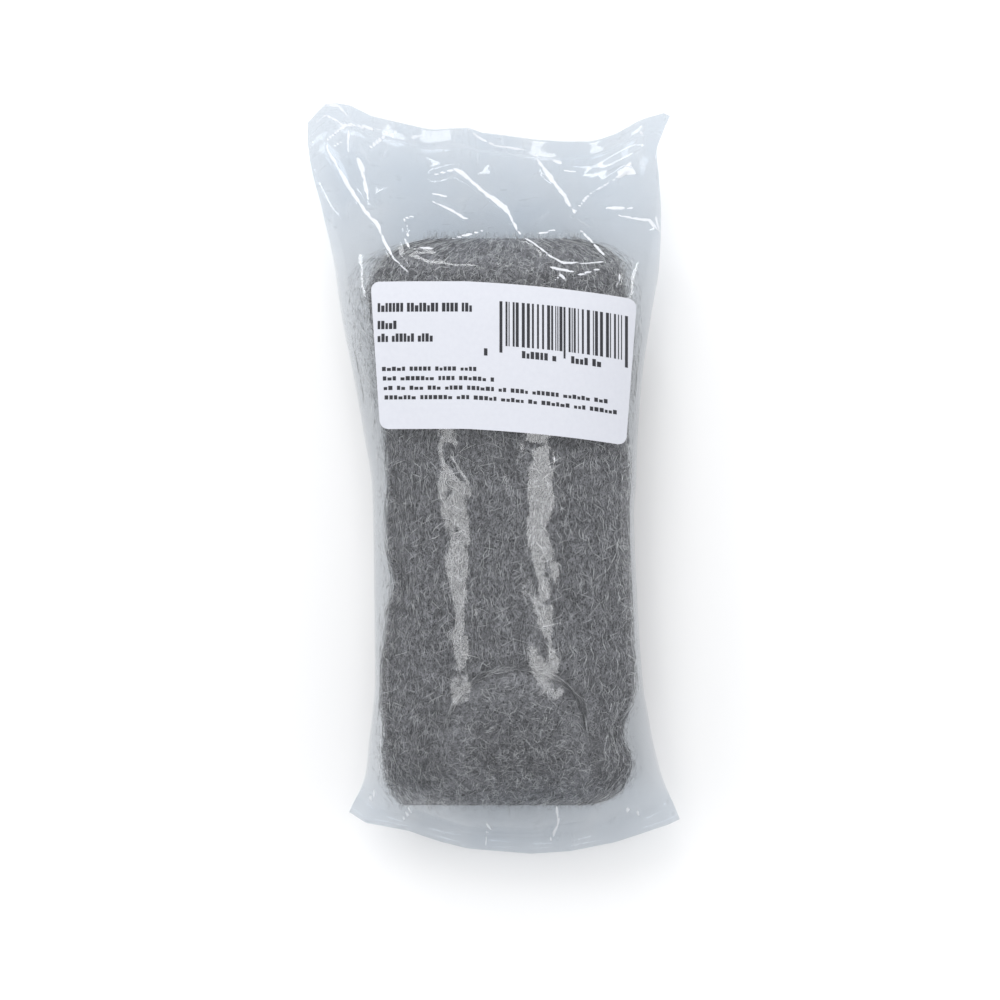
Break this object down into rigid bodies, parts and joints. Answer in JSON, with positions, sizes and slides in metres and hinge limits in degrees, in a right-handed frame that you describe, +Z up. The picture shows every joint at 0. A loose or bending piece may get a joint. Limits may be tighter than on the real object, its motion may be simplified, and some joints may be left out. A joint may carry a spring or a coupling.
{
  "type": "steel wool bundle",
  "caption": "Flat folded hank of fine steel wool in a clear, heat-sealed film bag with a rounded paper label on its front.",
  "frame": {"origin": "on the surface the pack lies on, under the middle of its box", "axes": "+Y along the fibres towards the bag's top seal, +Z up through the labelled front, +X to the label's right"},
  "size_m": [0.136, 0.2746, 0.0509],
  "materials": {
    "steel_wool": "matted fine fibres, dull grey with small bright glints",
    "clear_film": "clear glossy film, slightly blue-grey, creased",
    "label_paper": "white coated paper with dark print"
  },
  "bodies": {
    "root": {"wool_bundle": "steel_wool", "film_bag": "clear_film", "label": "label_paper"}
  },
  "joints": []
}
